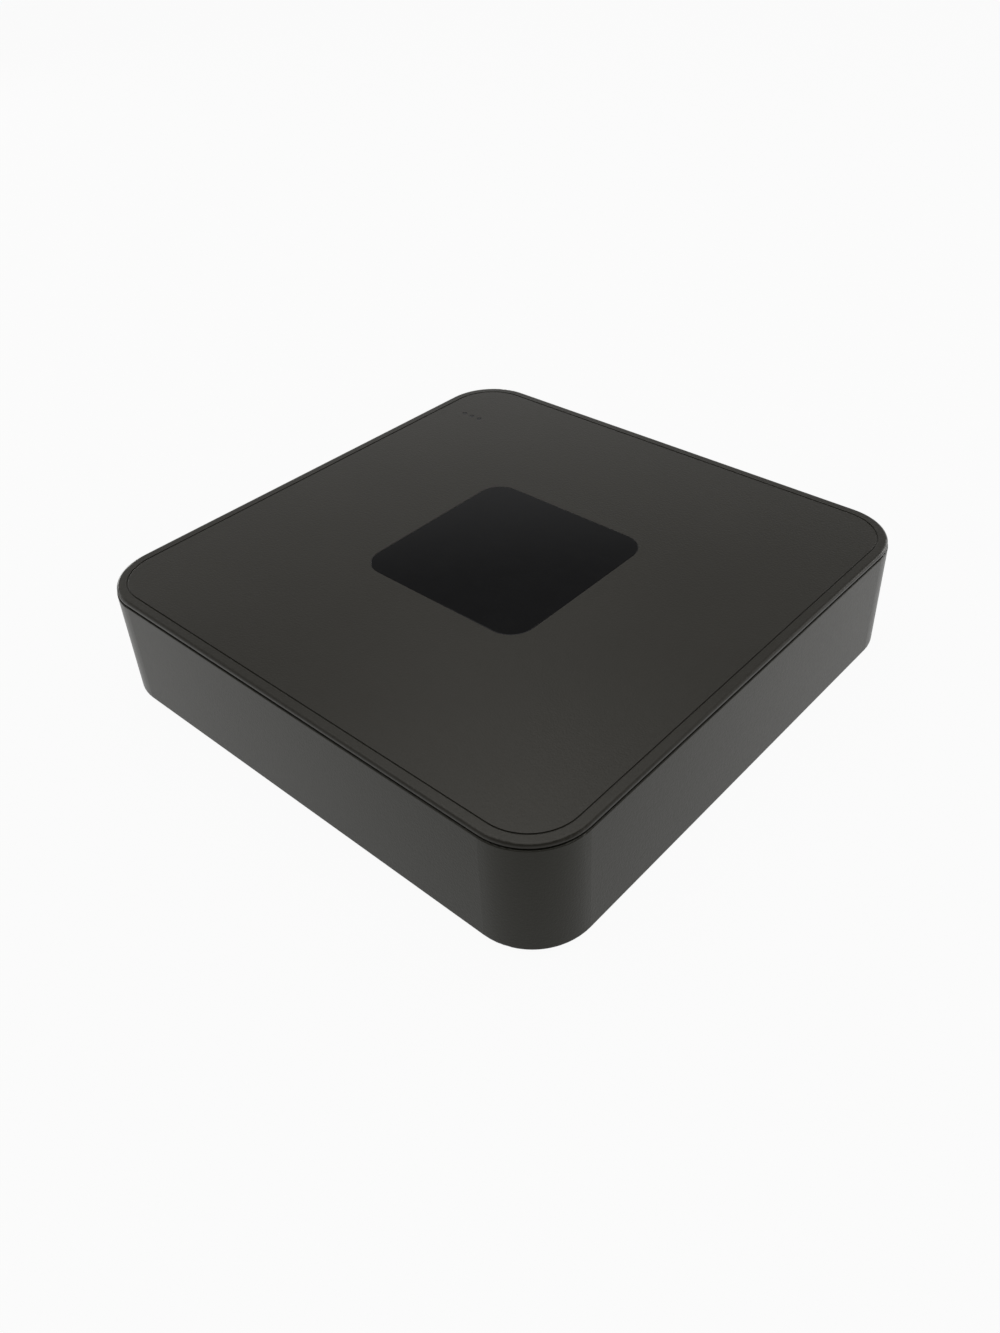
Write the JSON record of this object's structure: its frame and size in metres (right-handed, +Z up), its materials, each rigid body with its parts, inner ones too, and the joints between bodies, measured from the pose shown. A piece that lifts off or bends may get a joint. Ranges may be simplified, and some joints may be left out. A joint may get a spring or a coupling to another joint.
{
  "type": "dvr recorder",
  "caption": "Square low video recorder: matt tray and lift-off cover with an inset plate, rear panel of video, audio, monitor, network and power sockets, board and disk drive inside.",
  "frame": {"origin": "middle of the whole recorder with its sockets, on the surface that the feet stand on", "axes": "+X to the right, +Y to the rear with the sockets, +Z up"},
  "size_m": [0.205, 0.2144, 0.045],
  "materials": {
    "case_plastic": "fine matt moulded, very dark warm grey",
    "cover_plastic": "fine matt moulded, very dark warm grey",
    "badge_black": "polished black",
    "clear_plastic": "smoked clear",
    "foot_rubber": "matt black",
    "screw_black": "black oxide",
    "screw_steel": "zinc plated",
    "plate_paint": "black powder coat",
    "nickel": "nickel plated",
    "gold": "thin gold plate",
    "tin_plate": "tin plated sheet",
    "black_plastic": "moulded black",
    "white_plastic": "moulded white",
    "red_plastic": "moulded red",
    "blue_plastic": "moulded blue",
    "board_green": "solder resist",
    "chip_black": "moulded epoxy",
    "can_aluminium": "bright cans with a black stripe",
    "heatsink_aluminium": "black anodised",
    "light_resin": "clear resin",
    "cast_aluminium": "cast, black sealed",
    "drive_steel": "pressed bright sheet",
    "disc_mirror": "mirror polished",
    "arm_aluminium": "machined",
    "coil_copper": "enamelled wire",
    "cell_steel": "bright nickel steel",
    "lead_red": "soft red jacket",
    "wire_black": "soft black jacket",
    "wire_yellow": "soft yellow jacket"
  },
  "bodies": {
    "chassis": {"audio_insulator_red": "red_plastic", "audio_insulator_white": "white_plastic", "audio_socket_block": "black_plastic", "audio_socket_shells": "nickel", "board_capacitors": "can_aluminium", "board_inductors": "chip_black", "board_lead_plugs": "black_plastic", "board_lead_sockets": "white_plastic", "board_screws": "screw_steel", "bottom_case": "case_plastic", "buzzer_and_cell_holder": "black_plastic", "case_screws": "screw_black", "clock_cell": "cell_steel", "data_lead": "lead_red", "digital_socket_shell": "tin_plate", "digital_socket_tongue": "black_plastic", "drive_base": "cast_aluminium", "drive_circuit_board": "board_green", "drive_cover": "drive_steel", "drive_cover_screws": "screw_black", "drive_magnet_yokes": "nickel", "drive_plugs": "black_plastic", "drive_screws": "screw_steel", "drive_shafts": "drive_steel", "drive_socket": "black_plastic", "heatsink": "heatsink_aluminium", "main_board": "board_green", "monitor_socket_body": "blue_plastic", "monitor_socket_jacks": "nickel", "monitor_socket_shell": "tin_plate", "network_socket": "tin_plate", "network_socket_wires": "gold", "power_inlet": "black_plastic", "power_inlet_pin": "nickel", "power_wire_red": "lead_red", "power_wire_yellow": "wire_yellow", "power_wires_black": "wire_black", "processor": "chip_black", "rear_plate": "plate_paint", "rubber_feet": "foot_rubber", "serial_socket": "tin_plate", "serial_socket_tongues": "black_plastic", "signal_chips": "chip_black", "status_lights": "light_resin", "video_socket_blocks": "black_plastic", "video_socket_contacts": "gold", "video_socket_cores": "white_plastic", "video_socket_shell_1": "nickel", "video_socket_shell_2": "nickel", "video_socket_shell_3": "nickel", "video_socket_shell_4": "nickel"},
    "cover": {"top_cover": "cover_plastic", "top_badge": "badge_black", "light_pipes": "clear_plastic"},
    "drive_rotor": {"drive_hub": "arm_aluminium", "drive_disc_lower": "disc_mirror", "drive_disc_upper": "disc_mirror", "drive_disc_clamp": "arm_aluminium"},
    "drive_arm": {"drive_head_arm": "arm_aluminium", "drive_arm_coil": "coil_copper"}
  },
  "joints": [
    {"name": "cover_lift", "type": "slide", "parent": "chassis", "child": "cover", "axis": [0, 0, 1], "range_m": [0, 0.06]},
    {"name": "disc_spin", "type": "hinge", "parent": "chassis", "child": "drive_rotor", "pos_m": [-0.0455, -0.03595, 0.02], "axis": [0, 0, 1], "continuous": true},
    {"name": "arm_swing", "type": "hinge", "parent": "chassis", "child": "drive_arm", "pos_m": [0.0085, -0.05595, 0.02], "axis": [0, 0, 1], "range_deg": [0, 28]}
  ]
}
